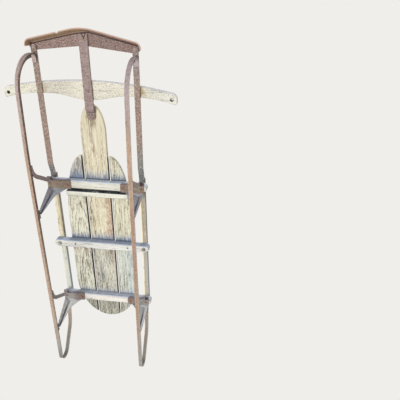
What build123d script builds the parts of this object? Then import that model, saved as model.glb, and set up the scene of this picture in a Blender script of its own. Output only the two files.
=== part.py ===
from build123d import *
import os
from math import atan, cos, degrees, radians, tan

os.makedirs("parts", exist_ok=True)

# Steering sled, in millimetres. It stands on its runners: +Z is up, the front points to -Y, the
# ground is Z 0, and the origin is under the middle of its length. Left is -X.

# Lengths along the sled
front_reach = 427.0  # bumper's tip to the front bench's front face
bench_pitch = 212.0  # one bench to the next
bench_width = 25.0
runner_overhang = 190.0  # rear bench's rear face to the runner's rear end
overall_length = front_reach + 2 * bench_pitch + bench_width + runner_overhang
front_bench_y = -overall_length / 2 + front_reach
middle_bench_y = front_bench_y + bench_pitch
rear_bench_y = middle_bench_y + bench_pitch

# Levels
runner_thickness = 3.0
runner_web_height = 9.0
strap_level = 121.0  # underside of the steel straps
strap_thickness = 3.0
bench_bottom = 110.0
bench_thickness = 20.0
bench_top = bench_bottom + bench_thickness
board_thickness = 10.0
rail_thickness = 12.0
slide_clearance = 0.3  # a turning piece above its fixed seat

# Benches and cleat
bench_length = 310.0
bench_corner = 12.0
bench_edge = 2.2
cleat_behind = 34.0  # front bench's front face to the cleat
cleat_width = 18.0
cleat_thickness = 18.0
cleat_length = 192.0
cleat_corner = 4.5

# Deck
centre_board_width = 74.0
side_board_width = 62.0
board_gap = 5.0
board_edge = 1.5
nose_reach = 229.0  # centre board's tip ahead of the front bench
nose_length = 80.0
shoulder_reach = 75.0  # side boards' corners ahead of the front bench
shoulder_length = 223.0
tail_overhang = 77.0  # deck's tail behind the rear bench
tail_length = 150.0

# Side rails
rail_offset = 137.0  # centre line of a rail and of a side strap from the middle
rail_width = 18.0
rail_edge = 2.0
rail_front_overhang = 12.0
rail_rear_overhang = 4.0

# Runners
runner_offset = 139.0
runner_width = 12.0
runner_web = 3.0
curl_behind_tip = 65.0  # bumper's tip to the front of the curl
curl_radius = 89.0
curl_top_radius = 14.0
curl_tab = 26.0
rise_start = 110.0  # ahead of the front bench, where the runner leaves the ground
rise_angle = 3.0
rise_radius = 900.0
heel_radius = 29.0
return_angle = 34.5
return_bend_height = 103.0
return_tab = 10.0
return_radius = 70.0
return_seat_drop = 11.0  # the strip's last bend below the bench's top

# Knees
sheet = 2.0
saddle_inner = 76.0
saddle_outer = 148.0
saddle_corner = 5.0
lip_height = 9.0  # of the lip on the bench's front face, with the plate
leg_root = 16.0  # width of the plate's tab that the front leg hangs from
wing_top = 90.0  # inner wing's top from the middle
throat = (119.0, 22.0, 84.0)  # where the inner wing narrows: from the middle, behind the bench, height
crease_top = 133.0
crease_back = 13.0  # crease's top behind the bench
waist = (145.0, 36.0, 30.0)  # where the outer wing turns in to the foot
throat_radius = 30.0
foot_back = 43.0  # crease's foot behind the bench
foot_length = 26.0
foot_height = 13.0
wing_foot = 5.0
leg_width = 12.0
leg_top_ahead = 10.0  # leg's top ahead of the bench's front face
leg_foot_ahead = 82.0
leg_foot_length = 24.0
leg_top_radius = 14.0
leg_foot_radius = 40.0

# Straps
side_strap_width = 16.0
side_strap_gap = 2.0  # its front end behind the bumper's flange
side_strap_seat = 20.0  # its length on the bench
joggle_run = 34.0
side_strap_end = 7.5  # corner radius of its front end
strap_bend = 12.0
centre_strap_width = 25.0
centre_strap_tip = 16.0  # its front end behind the bumper's tip
nose_lap = 46.0  # how far it runs under the centre board
nose_tab = 22.0
nose_joggle = 10.0
nose_bend = 4.5
nose_corner = 12.0

# Bumper
bumper_half_width = 155.5
bumper_sweep = 36.0  # its corners behind its tip
bumper_return = 17.0
bumper_sheet = 3.0
bumper_drop = 20.0
bumper_flare = 8.0  # how far the rim stands out from the web's front edge
bumper_corner = 18.0
bumper_bend = 2.5
bumper_rim = 1.0
bumper_peak = 150.0
bumper_web_centre = 45.0
bumper_web_end = 60.0  # rear edge of the web behind the tip, at the side straps
bumper_web_bend = 60.0
bumper_web_corner = 8.0

# Steering bar
pivot_ahead = 268.0  # pivot ahead of the front bench
bar_half_length = 245.0
bar_thickness = 16.0
bar_front = 25.0  # front edge ahead of the pivot, at the middle
bar_sweep = 27.0  # how far the ends' front edge lies back
bar_rear = 28.0  # rear edge behind the pivot, at the middle
bar_rear_waist = 13.0
bar_rear_end = 32.0
bar_waist_half_length = 105.0
bar_end_slope = 0.35
bar_front_corner = 16.0
bar_rear_corner = 7.0
bar_edge = 1.5
rope_hole = 8.0
rope_hole_inset = 14.5  # from the bar's end
rope_hole_back = 16.0
pivot_diameter = 8.0
pivot_clearance = 0.05
pivot_foot = 13.0  # its countersunk end, flush under the strap
pivot_head = 18.0
pivot_head_height = 4.0
head_taper = 30.0
crossing_bolt = 6.0
crossing_head = 15.0
crossing_head_height = 3.0

sides = (("left", -1), ("right", 1))
tip_y = -overall_length / 2
rear_end_y = overall_length / 2
deck_half_width = centre_board_width / 2 + board_gap + side_board_width
pivot_y = front_bench_y - pivot_ahead
saddle_bottom = bench_bottom - sheet
strap_top = strap_level + strap_thickness
foot_taper = degrees(atan((pivot_foot - pivot_diameter) / 2 / strap_thickness))
tail_y = rear_bench_y + bench_width + tail_overhang


def keep(builder, name):
    builder.part.label = name
    export_step(builder.part, f"parts/{name}.step")


def runner_path(with_ends):
    """Outer line of a runner in side view, as (y, z) points and bend radii, from the front tab round
    the curl, along the ground, round the heel and up to the rear bench."""
    curl_y = tip_y + curl_behind_tip
    ground_y = front_bench_y - rise_start
    curl_low = (curl_y, tan(radians(rise_angle)) * (ground_y - curl_y))
    turn = 180 - return_angle
    heel_corner = rear_end_y - heel_radius + heel_radius * tan(radians(turn / 2))
    bend = (heel_corner - return_bend_height / tan(radians(return_angle)), return_bend_height)
    seat_y = rear_bench_y + bench_width + runner_thickness
    seat_z = bench_top - return_seat_drop
    if with_ends:
        points = [(curl_y + curl_tab, strap_level), (curl_y, strap_level), curl_low, (ground_y, 0)]
        points += [(heel_corner, 0), bend, (seat_y, seat_z), (seat_y, seat_z + return_tab)]
        radii = [curl_top_radius, curl_radius, rise_radius, heel_radius, return_radius, runner_thickness]
        return points, radii
    web_top = strap_level - curl_top_radius - runner_thickness
    points = [(curl_y, web_top), curl_low, (ground_y, 0), (rear_end_y - heel_radius, 0)]
    return points, [curl_radius, rise_radius]


# Runners: a flat base with a thin web on its inner side
for name, side in sides:
    with BuildPart() as runner:
        web_depth = runner_thickness + runner_web_height
        layers = ((True, runner_thickness, runner_width), (False, web_depth, runner_web))
        for with_ends, depth, width in layers:
            points, radii = runner_path(with_ends)
            with BuildSketch(Plane.YZ.offset(side * runner_offset)):
                with BuildLine():
                    FilletPolyline(*points, radius=radii)
                    offset(amount=depth, side=Side.LEFT)
                make_face()
            extrude(amount=width / 2, both=True)
    keep(runner, f"runner_{name}")

# Benches: rounded wooden bars across the sled
for name, bench_y in (("front", front_bench_y), ("middle", middle_bench_y), ("rear", rear_bench_y)):
    with BuildPart() as bench:
        with BuildSketch(Plane.XY.offset(bench_bottom)):
            with Locations((0, bench_y + bench_width / 2)):
                RectangleRounded(bench_length, bench_width, bench_corner)
        extrude(amount=bench_thickness)
        chamfer(bench.faces().sort_by(Axis.Z)[0].edges(), bench_edge)
    keep(bench, f"bench_{name}")

# Cleat: a short bar that ties the boards together behind the front bench
with BuildPart() as cleat:
    with BuildSketch(Plane.XY.offset(bench_top - cleat_thickness)):
        with Locations((0, front_bench_y + cleat_behind + cleat_width / 2)):
            RectangleRounded(cleat_length, cleat_width, cleat_corner)
    extrude(amount=cleat_thickness)
    chamfer(cleat.faces().sort_by(Axis.Z)[0].edges(), bench_edge)
keep(cleat, "cleat")

# Deck boards: one outline with shoulders and a round tail, cut into three
shoulder_y = front_bench_y - shoulder_reach + shoulder_length
board_shift = (centre_board_width + side_board_width) / 2 + board_gap
for name, side in sides:
    with BuildPart() as board:
        with BuildSketch(Plane.XY.offset(bench_top)):
            with BuildLine():
                shoulder = EllipticalCenterArc(
                    (side * (deck_half_width - side_board_width), shoulder_y),
                    side_board_width,
                    shoulder_length,
                    start_angle=270,
                    arc_size=side * 90,
                )
                inner_tail = EllipticalCenterArc(
                    (0, tail_y - tail_length),
                    deck_half_width,
                    tail_length,
                    start_angle=90,
                    arc_size=-side * 90,
                )
                Line(shoulder @ 1, inner_tail @ 1)
                Line(inner_tail @ 0, shoulder @ 0)
            make_face()
            with Locations((side * board_shift, (shoulder_y + tail_y) / 2)):
                Rectangle(side_board_width, overall_length, mode=Mode.INTERSECT)
        extrude(amount=board_thickness)
        chamfer(board.faces().filter_by(Axis.Z).edges(), board_edge)
    keep(board, f"deck_board_{name}")

nose_y = front_bench_y - nose_reach
with BuildPart() as board:
    with BuildSketch(Plane.XY.offset(bench_top)):
        with BuildLine():
            nose = EllipticalCenterArc(
                (0, nose_y + nose_length), centre_board_width / 2, nose_length, start_angle=180, arc_size=180
            )
            tail = EllipticalCenterArc(
                (0, tail_y - tail_length), deck_half_width, tail_length, start_angle=0, arc_size=180
            )
            Line(nose @ 1, tail @ 0)
            Line(tail @ 1, nose @ 0)
        make_face()
        with Locations((0, (nose_y + tail_y) / 2)):
            Rectangle(centre_board_width, tail_y - nose_y, mode=Mode.INTERSECT)
    extrude(amount=board_thickness)
    chamfer(board.faces().filter_by(Axis.Z).edges(), board_edge)
keep(board, "deck_board_centre")

# Side rails: notched at the front over the side straps' ends
rail_front = front_bench_y - rail_front_overhang
rail_rear = rear_bench_y + bench_width + rail_rear_overhang
for name, side in sides:
    with BuildPart() as rail:
        with BuildSketch(Plane.YZ.offset(side * rail_offset)):
            with BuildLine():
                Polyline(
                    (rail_front, bench_top + strap_thickness),
                    (front_bench_y + side_strap_seat, bench_top + strap_thickness),
                    (front_bench_y + side_strap_seat, bench_top),
                    (rail_rear, bench_top),
                    (rail_rear, bench_top + rail_thickness),
                    (rail_front, bench_top + rail_thickness),
                    close=True,
                )
            make_face()
        extrude(amount=rail_width / 2, both=True)
        fillet(rail.edges().filter_by(Axis.Y).sort_by(SortBy.LENGTH)[-4:], rail_edge)
    keep(rail, f"side_rail_{name}")

# Side straps: flat steel from the bumper under the steering bar, then up on the front bench
for name, side in sides:
    flange_y = tip_y + bumper_sweep * rail_offset / bumper_half_width
    strap_front = flange_y + bumper_flare + bumper_sheet + side_strap_gap
    joggle_top = rail_front - side_strap_gap
    with BuildPart() as strap:
        with BuildSketch(Plane.YZ.offset(side * rail_offset)):
            with BuildLine():
                FilletPolyline(
                    (strap_front, strap_level),
                    (joggle_top - joggle_run, strap_level),
                    (joggle_top, bench_top),
                    (front_bench_y + side_strap_seat, bench_top),
                    radius=strap_bend,
                )
                offset(amount=strap_thickness, side=Side.LEFT)
            make_face()
        extrude(amount=side_strap_width / 2, both=True)
        fillet(strap.edges().filter_by(Axis.Z).group_by(Axis.Y)[0], side_strap_end)
    keep(strap, f"side_strap_{name}")

# Centre strap: from the bumper under the steering bar to the centre board's nose
strap_rear = nose_y + nose_lap
with BuildPart() as strap:
    with BuildSketch(Plane.YZ):
        with BuildLine():
            FilletPolyline(
                (tip_y + centre_strap_tip, strap_level),
                (strap_rear - nose_tab - nose_joggle, strap_level),
                (strap_rear - nose_tab, bench_top - strap_thickness),
                (strap_rear, bench_top - strap_thickness),
                radius=nose_bend,
            )
            offset(amount=strap_thickness, side=Side.LEFT)
        make_face()
    extrude(amount=centre_strap_width / 2, both=True)
    fillet(strap.edges().filter_by(Axis.Z).group_by(Axis.Y)[-1], nose_corner)
    with Locations((0, pivot_y, strap_level)):
        Hole(pivot_diameter / 2 + pivot_clearance)
    with BuildSketch(Plane.XY.offset(strap_level)):
        with Locations((0, pivot_y)):
            Circle(pivot_foot / 2)
    extrude(amount=strap_thickness, taper=foot_taper, mode=Mode.SUBTRACT)
keep(strap, "centre_strap")

# Bumper: a pressed angle, with a flange along its swept front that hangs down and flares out
# the outline's peak lies ahead of the tip by what its arc cuts off
peak_trim = bumper_peak * (1 / cos(atan(bumper_sweep / bumper_half_width)) - 1)
corner_y = tip_y - peak_trim + bumper_sweep
flange_end = corner_y + bumper_return
flare_angle = degrees(atan(bumper_flare / bumper_drop))
rim_level = strap_top + bumper_sheet - bumper_drop
with BuildPart() as bumper:
    # its outline at the rim, drawn in upwards, less the hollow inside the sheet
    outline = [
        (-bumper_half_width, rear_end_y),
        (-bumper_half_width, corner_y),
        (0, tip_y - peak_trim),
        (bumper_half_width, corner_y),
        (bumper_half_width, rear_end_y),
    ]
    hollow_height = bumper_drop - bumper_sheet
    forms = ((0, bumper_drop, Mode.ADD), (bumper_sheet, hollow_height, Mode.SUBTRACT))
    for inset, height, mode in forms:
        with BuildSketch(Plane.XY.offset(rim_level)):
            with BuildLine():
                front = FilletPolyline(*outline, radius=[bumper_corner, bumper_peak, bumper_corner])
                Line(front @ 1, front @ 0)
            make_face()
            if inset:
                offset(amount=-inset)
        extrude(amount=height, taper=flare_angle, mode=mode)
    # behind the flange only the web is left, and behind the web nothing
    with BuildSketch(Plane.XY.offset(rim_level)):
        with Locations((0, flange_end + overall_length / 2)):
            Rectangle(overall_length, overall_length)
    extrude(amount=hollow_height, mode=Mode.SUBTRACT)
    with BuildSketch(Plane.XY.offset(rim_level)):
        with BuildLine():
            rear_line = [
                (-bumper_half_width, flange_end),
                (-rail_offset, tip_y + bumper_web_end),
                (0, tip_y + bumper_web_centre),
                (rail_offset, tip_y + bumper_web_end),
                (bumper_half_width, flange_end),
            ]
            rear = FilletPolyline(*rear_line, radius=[bumper_web_corner, bumper_web_bend, bumper_web_corner])
            Polyline(
                rear @ 1,
                (overall_length, flange_end),
                (overall_length, rear_end_y),
                (-overall_length, rear_end_y),
                (-overall_length, flange_end),
                rear @ 0,
            )
        make_face()
    extrude(amount=bumper_drop, mode=Mode.SUBTRACT)
    top_edges = bumper.faces().sort_by(Axis.Z)[-1].edges()
    front_edges = top_edges.filter_by_position(Axis.Y, tip_y, tip_y + bumper_web_centre)
    fillet(front_edges, bumper_bend)
    chamfer(bumper.faces().sort_by(Axis.Z)[0].edges(), bumper_rim)
keep(bumper, "bumper")

# Knees: a saddle under the bench's end, a folded rear leg and a strip for a front leg
foot_inside = runner_offset - runner_web / 2 - sheet  # inner face of a foot, beside the runner's web
saddle_mid = saddle_bottom + sheet / 2


def knee(side, bench_y):
    bench_rear = bench_y + bench_width
    foot_x = side * (foot_inside + sheet / 2)
    top = Vector(side * crease_top, bench_rear + crease_back, saddle_mid)
    foot = Vector(foot_x, bench_rear + foot_back, foot_height + sheet / 2)
    inner_wing = [
        Vector(side * wing_top, bench_rear + sheet / 2, saddle_mid),
        Vector(side * throat[0], bench_rear + throat[1], throat[2]),
        foot - Vector(side * wing_foot, 0, 0),
    ]
    outer_wing = [
        Vector(side * (saddle_outer - sheet / 2), bench_rear - sheet, saddle_mid),
        Vector(side * waist[0], bench_rear + waist[1], waist[2]),
        foot - Vector(0, wing_foot, 0),
    ]
    with BuildPart() as made:
        # the saddle's plate, with a tab ahead of the bench for the front leg
        root = saddle_outer - leg_root
        with BuildSketch(Plane.XY.offset(saddle_bottom)):
            with BuildLine():
                Polyline(
                    (side * saddle_inner, bench_y - sheet),
                    (side * root, bench_y - sheet),
                    (side * (root + sheet), bench_y - leg_top_ahead),
                    (side * (foot_inside + leg_width), bench_y - leg_top_ahead),
                    (side * saddle_outer, bench_y - sheet),
                    (side * saddle_outer, bench_rear),
                    (side * (crease_top + sheet), bench_rear + crease_back + sheet),
                    (side * (crease_top - sheet), bench_rear + crease_back + sheet),
                    (side * wing_top, bench_rear + sheet),
                    (side * saddle_inner, bench_rear + sheet),
                    close=True,
                )
            plate = make_face()
            fillet(plate.vertices().group_by(Axis.X)[0 if side > 0 else -1], saddle_corner)
        extrude(amount=sheet)
        # its lip on the bench's front face
        lip_length = saddle_outer - saddle_inner - saddle_corner
        with BuildSketch(Plane.XZ.offset(-bench_y)):
            with Locations((side * (saddle_outer - lip_length / 2), saddle_bottom + lip_height / 2)):
                Rectangle(lip_length, lip_height)
        extrude(amount=sheet)
        # the rear leg: two wings folded back along one crease
        for wing in (inner_wing, outer_wing):
            down = foot - top
            plane = Plane(origin=top, x_dir=down, z_dir=down.cross(wing[0] - top))
            local = [plane.to_local_coords(p) for p in (foot, wing[2], wing[1], wing[0])]
            corners = [(p.X, p.Y) for p in local]
            with BuildSketch(plane):
                with BuildLine():
                    Polyline((0, 0), corners[0], corners[1])
                    FilletPolyline(*corners[1:], radius=throat_radius)
                    Line(corners[3], (0, 0))
                make_face()
            extrude(amount=sheet / 2, both=True)
        # both feet and the front leg, flat against the runner's web
        with BuildSketch(Plane.YZ.offset(foot_x)):
            with Locations((bench_rear + foot_back, (runner_thickness + foot_height + sheet) / 2)):
                Rectangle(foot_length, foot_height + sheet - runner_thickness)
            leg_y = bench_y - leg_top_ahead
            leg_low = runner_thickness + leg_width
            with BuildLine():
                FilletPolyline(
                    (leg_y, saddle_mid),
                    (leg_y, saddle_mid - leg_width),
                    (bench_y - leg_foot_ahead + leg_foot_length, leg_low),
                    (bench_y - leg_foot_ahead, leg_low),
                    radius=[leg_top_radius, leg_foot_radius],
                )
                offset(amount=leg_width, side=Side.LEFT)
            make_face()
        extrude(amount=sheet / 2, both=True)
    return made


for end, bench_y in (("front", front_bench_y), ("rear", rear_bench_y)):
    for name, side in sides:
        keep(knee(side, bench_y), f"knee_{end}_{name}")

# Steering bar: swept wood with a wider middle, turning on the pivot
bar_bottom = strap_top + slide_clearance
hole_spots = [(side * (bar_half_length - rope_hole_inset), pivot_y + rope_hole_back) for _, side in sides]
crossing_spots = [(side * rail_offset, pivot_y) for _, side in sides]
with BuildPart() as bar:
    with BuildSketch(Plane.XY.offset(bar_bottom)):
        front_y = pivot_y - bar_front + bar_sweep
        middle = (0, pivot_y + bar_rear)
        waist_pull = bar_waist_half_length / 3
        end_pull = (bar_half_length - bar_waist_half_length) / 3
        with BuildLine():
            ThreePointArc((-bar_half_length, front_y), (0, pivot_y - bar_front), (bar_half_length, front_y))
            for _, side in sides:
                waist = (side * bar_waist_half_length, pivot_y + bar_rear_waist)
                end = (side * bar_half_length, pivot_y + bar_rear_end)
                inner_handle = (waist[0] - side * waist_pull, waist[1])
                outer_handle = (end[0] - side * end_pull, end[1] - bar_end_slope * end_pull)
                Bezier(middle, (side * waist_pull, middle[1]), inner_handle, waist)
                Bezier(waist, (waist[0] + side * end_pull, waist[1]), outer_handle, end)
                Line(end, (end[0], front_y))
        make_face()
    extrude(amount=bar_thickness)
    uprights = bar.edges().filter_by(Axis.Z).group_by(Axis.X)
    for corners in (uprights[0], uprights[-1]):
        fillet(corners.sort_by(Axis.Y)[0], bar_front_corner)
        fillet(corners.sort_by(Axis.Y)[-1], bar_rear_corner)
    chamfer(bar.faces().filter_by(Axis.Z).edges(), bar_edge)
    with Locations(*[(x, y, bar_bottom + bar_thickness) for x, y in hole_spots]):
        Hole(rope_hole / 2)
    with Locations((0, pivot_y, bar_bottom + bar_thickness)):
        Hole(pivot_diameter / 2 + pivot_clearance)
    with Locations(*[(x, y, bar_bottom + bar_thickness) for x, y in crossing_spots]):
        Hole(crossing_bolt / 2)
keep(bar, "steering_bar")

# Crossing bolts: domed heads over the bar, with shanks that end at its underside
with BuildPart() as bolts:
    with BuildSketch(Plane.XY.offset(bar_bottom)):
        with Locations(*crossing_spots):
            Circle(crossing_bolt / 2)
    extrude(amount=bar_thickness)
    with BuildSketch(Plane.XY.offset(bar_bottom + bar_thickness)):
        with Locations(*crossing_spots):
            Circle(crossing_head / 2)
    extrude(amount=crossing_head_height, taper=head_taper)
keep(bolts, "crossing_bolts")

# Pivot bolt: countersunk flush under the centre strap, with a domed head over the bar
with BuildPart() as bolt:
    with BuildSketch(Plane.XY.offset(strap_level)):
        with Locations((0, pivot_y)):
            Circle(pivot_diameter / 2)
    extrude(amount=strap_thickness + bar_thickness + 2 * slide_clearance)
    heads = (
        (strap_level, pivot_foot, strap_thickness, foot_taper),
        (bar_bottom + bar_thickness + slide_clearance, pivot_head, pivot_head_height, head_taper),
    )
    for level, diameter, height, taper in heads:
        with BuildSketch(Plane.XY.offset(level)):
            with Locations((0, pivot_y)):
                Circle(diameter / 2)
        extrude(amount=height, taper=taper)
keep(bolt, "pivot_bolt")
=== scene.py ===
import bpy
import numpy as np
from mathutils import Matrix, Vector


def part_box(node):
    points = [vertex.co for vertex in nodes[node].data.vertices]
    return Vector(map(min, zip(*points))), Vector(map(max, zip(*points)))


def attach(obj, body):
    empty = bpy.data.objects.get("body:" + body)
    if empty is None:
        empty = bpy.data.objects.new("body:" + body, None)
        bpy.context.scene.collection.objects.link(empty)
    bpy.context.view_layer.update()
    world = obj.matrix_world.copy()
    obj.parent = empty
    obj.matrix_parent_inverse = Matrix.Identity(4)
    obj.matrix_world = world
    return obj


# Old wooden steering sled, parked on its runners and seen from below and in front.
# Front is -Y, up is +Z, lengths are metres, colours are screen values from 0 to 255.

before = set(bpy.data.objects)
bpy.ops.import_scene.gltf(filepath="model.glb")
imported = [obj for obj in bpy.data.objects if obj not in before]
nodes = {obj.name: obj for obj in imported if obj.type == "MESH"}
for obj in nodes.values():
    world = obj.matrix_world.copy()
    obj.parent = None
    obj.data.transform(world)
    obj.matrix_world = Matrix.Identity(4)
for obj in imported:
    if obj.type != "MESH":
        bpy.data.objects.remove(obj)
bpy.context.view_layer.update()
print("frame loaded:", len(nodes), "solids")


def tone(red, green, blue):
    # a screen colour as linear light: ((c + 0.055) / 1.055) ^ 2.4, with the line c / 12.92 near black
    c = np.array([red, green, blue]) / 255
    linear = np.where(c < 0.04045, c / 12.92, ((c + 0.055) / 1.055) ** 2.4)
    return (*linear.tolist(), 1.0)


def shades(*screens):
    return [tone(*screen) for screen in screens]


def dress(name, material):
    nodes[name].material_slots[0].material = material


class Signal:
    # a node's output, so that a sum written on it adds Math nodes
    def __init__(self, finish, socket):
        self.finish = finish
        self.socket = socket

    def sum(self, operation, a, b):
        return self.finish.make("ShaderNodeMath", {"operation": operation}, {0: a, 1: b})

    def __add__(self, other):
        return self.sum("ADD", self, other)

    def __radd__(self, other):
        return self.sum("ADD", other, self)

    def __sub__(self, other):
        return self.sum("SUBTRACT", self, other)

    def __rsub__(self, other):
        return self.sum("SUBTRACT", other, self)

    def __mul__(self, other):
        return self.sum("MULTIPLY", self, other)

    def __rmul__(self, other):
        return self.sum("MULTIPLY", other, self)

    def __truediv__(self, other):
        return self.sum("DIVIDE", self, other)

    def __rtruediv__(self, other):
        return self.sum("DIVIDE", other, self)

    def __pow__(self, other):
        return self.sum("POWER", self, other)

    def __abs__(self):
        return self.sum("ABSOLUTE", self, 0.0)


class Finish:
    # one procedural material; every pattern reads Object coordinates, in metres
    def __init__(self, name, seed=0.0):
        self.material = bpy.data.materials.new(name)
        self.material.use_nodes = True
        self.tree = self.material.node_tree
        self.tree.nodes.clear()
        self.seed = seed
        self.place = self.make("ShaderNodeTexCoord", out="Object")
        self.x, self.y, self.z = self.split(self.place)

    def make(self, kind, settings=None, values=None, out=0):
        node = self.tree.nodes.new(kind)
        for key, value in (settings or {}).items():
            if key == "stops":
                ramp = node.color_ramp
                while len(ramp.elements) < len(value):
                    ramp.elements.new(0.5)
                for stop, (position, colour) in zip(ramp.elements, value):
                    stop.position = position
                    stop.color = colour
            else:
                setattr(node, key, value)
        for key, value in (values or {}).items():
            if isinstance(value, Signal):
                self.tree.links.new(value.socket, node.inputs[key])
            else:
                node.inputs[key].default_value = value
        return Signal(self, node.outputs[out]) if node.outputs else None

    def split(self, vector):
        return [self.make("ShaderNodeSeparateXYZ", {}, {0: vector}, axis) for axis in "XYZ"]

    def step(self, value, low, high):
        # 0 at low, 1 at high, smooth between; low may be the larger
        first, last, start, end = (low, high, 0.0, 1.0) if low < high else (high, low, 1.0, 0.0)
        values = {0: value, 1: first, 2: last, 3: start, 4: end}
        return self.make("ShaderNodeMapRange", {"interpolation_type": "SMOOTHSTEP"}, values)

    def band(self, value, low, high, soft):
        # 1 between low and high, fading over soft outside them
        return self.step(value, low - soft, low) * self.step(value, high + soft, high)

    def either(self, a, b):
        return self.make("ShaderNodeMath", {"operation": "MAXIMUM"}, {0: a, 1: b})

    def fract(self, value):
        return self.make("ShaderNodeMath", {"operation": "FRACT"}, {0: value})

    def facing(self):
        # how far the surface faces along each axis: 1 towards it, -1 away from it
        return self.split(self.make("ShaderNodeNewGeometry", out="True Normal"))

    def reach(self, centre, stretch=(1.0, 1.0)):
        # distance from a point of the plan: sqrt((dx / sx)^2 + (dy / sy)^2)
        across = (self.x - centre[0]) / stretch[0]
        along = (self.y - centre[1]) / stretch[1]
        return (across * across + along * along) ** 0.5

    def spot(self, centre, reach, soft, stretch=(1.0, 1.0)):
        # 1 near a point of the plan, fading over soft
        return self.step(self.reach(centre, stretch), reach + soft, reach)

    def noise(self, scales, detail=2.0, shift=0.0, roughness=0.5):
        # noise with so many cells a metre along each axis; 0 to 1 around 0.5. Seed and shift move it elsewhere
        far = 7.3 * self.seed + shift
        settings = {"operation": "MULTIPLY_ADD"}
        where = self.make("ShaderNodeVectorMath", settings, {0: self.place, 1: scales, 2: (far, 1.7 * far, -far)})
        values = {"Vector": where, "Scale": 1.0, "Detail": detail, "Roughness": roughness}
        return self.make("ShaderNodeTexNoise", {}, values)

    def mix(self, factor, first, second):
        return self.make("ShaderNodeMix", {"data_type": "RGBA"}, {0: factor, 6: first, 7: second}, 2)

    def layers(self, colour, *coats):
        # each coat is (mask, colour), laid over what is below it
        for mask, coat in coats:
            colour = self.mix(mask, colour, coat)
        return colour

    def ramp(self, value, tones):
        # tones spread evenly from value 0 to value 1
        places = np.linspace(0, 1, len(tones)).tolist()
        return self.make("ShaderNodeValToRGB", {"stops": list(zip(places, tones))}, {0: value})

    def finish(self, colour, roughness, height, depth, bump, specular=0.35):
        relief = {"Height": height, "Strength": bump, "Distance": depth}
        values = {"Base Color": colour, "Roughness": roughness, "Specular IOR Level": specular}
        values["Normal"] = self.make("ShaderNodeBump", {}, relief)
        shader = self.make("ShaderNodeBsdfPrincipled", {}, values)
        self.make("ShaderNodeOutputMaterial", {}, {"Surface": shader})
        return self.material


# The camera stands where the photograph was taken from, in the sled's own frame
view = {
    "place": (0.4236, -0.61465, -0.9836),
    "right": (0.99367, -0.02297, 0.10998),
    "down": (0.06923, 0.89615, -0.43833),
    "forward": (-0.08849, 0.44317, 0.89206),
    "lens": 37.42,
    "sensor": 36.0,
    "nearest": 0.01,
}
cameraData = bpy.data.cameras.new("camera")
cameraData.lens = view["lens"]
cameraData.sensor_width = view["sensor"]
cameraData.clip_start = view["nearest"]
camera = bpy.data.objects.new("camera", cameraData)
axes = np.array([view["right"], np.negative(view["down"]), np.negative(view["forward"])]).T
turned = Matrix(axes.tolist()).to_4x4()
turned.translation = view["place"]
camera.matrix_world = turned
bpy.context.scene.collection.objects.link(camera)
bpy.context.scene.camera = camera
bpy.context.scene.view_settings.view_transform = "Standard"
print("camera placed")

# Soft light from above for the deck, and from below and the left for the side that the camera sees
lamps = {
    "skyLamp": {"from": (0.25, -0.35, 1.0), "strength": 2.5, "softness": 0.7},
    "groundLamp": {"from": (-0.5, -0.08, -1.0), "strength": 2.38, "softness": 0.6},
}
for name, lamp in lamps.items():
    lampData = bpy.data.lights.new(name, "SUN")
    lampData.energy = lamp["strength"]
    lampData.angle = lamp["softness"]
    lampObject = bpy.data.objects.new(name, lampData)
    lampObject.rotation_euler = Vector(lamp["from"]).to_track_quat("Z", "Y").to_euler()
    bpy.context.scene.collection.objects.link(lampObject)

# The camera and reflections see the pale background, and the sled gets the dimmer light
surround = {"light": 0.38, "seen": tone(240, 238, 234)}
world = bpy.data.worlds.new("surround")
world.use_nodes = True
bpy.context.scene.world = world
tree = world.node_tree
tree.nodes.clear()
rays = tree.nodes.new("ShaderNodeLightPath")
seen = rays.outputs["Is Camera Ray"]
for ray in ("Is Glossy Ray", "Is Transmission Ray"):
    anyRay = tree.nodes.new("ShaderNodeMath")
    anyRay.operation = "MAXIMUM"
    tree.links.new(seen, anyRay.inputs[0])
    tree.links.new(rays.outputs[ray], anyRay.inputs[1])
    seen = anyRay.outputs[0]
lit = tree.nodes.new("ShaderNodeBackground")
lit.inputs["Color"].default_value = (1, 1, 1, 1)
lit.inputs["Strength"].default_value = surround["light"]
pale = tree.nodes.new("ShaderNodeBackground")
pale.inputs["Color"].default_value = surround["seen"]
chosen = tree.nodes.new("ShaderNodeMixShader")
tree.links.new(seen, chosen.inputs[0])
tree.links.new(lit.outputs[0], chosen.inputs[1])
tree.links.new(pale.outputs[0], chosen.inputs[2])
output = tree.nodes.new("ShaderNodeOutputWorld")
tree.links.new(chosen.outputs[0], output.inputs["Surface"])

# Floor: pale and plain from above, clear from below so that it hides nothing
floorLook = {"reach": 4.0, "paint": tone(228, 226, 222), "roughness": 0.9}
floorMesh = bpy.data.meshes.new("floor")
corners = np.array([(-1, -1, 0), (1, -1, 0), (1, 1, 0), (-1, 1, 0)]) * floorLook["reach"]
floorMesh.from_pydata(corners.tolist(), [], [(0, 1, 2, 3)])
floor = bpy.data.objects.new("floor", floorMesh)
floor.visible_shadow = False
floor.visible_diffuse = False
bpy.context.scene.collection.objects.link(floor)
floorPaint = Finish("floorPaint")
floorValues = {"Base Color": floorLook["paint"], "Roughness": floorLook["roughness"]}
painted = floorPaint.make("ShaderNodeBsdfPrincipled", {}, floorValues)
clear = floorPaint.make("ShaderNodeBsdfTransparent")
below = floorPaint.make("ShaderNodeNewGeometry", out="Backfacing")
twoSided = floorPaint.make("ShaderNodeMixShader", {}, {0: below, 1: painted, 2: clear})
floorPaint.make("ShaderNodeOutputMaterial", {}, {"Surface": twoSided})
floorMesh.materials.append(floorPaint.material)
print("light and floor ready")

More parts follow.
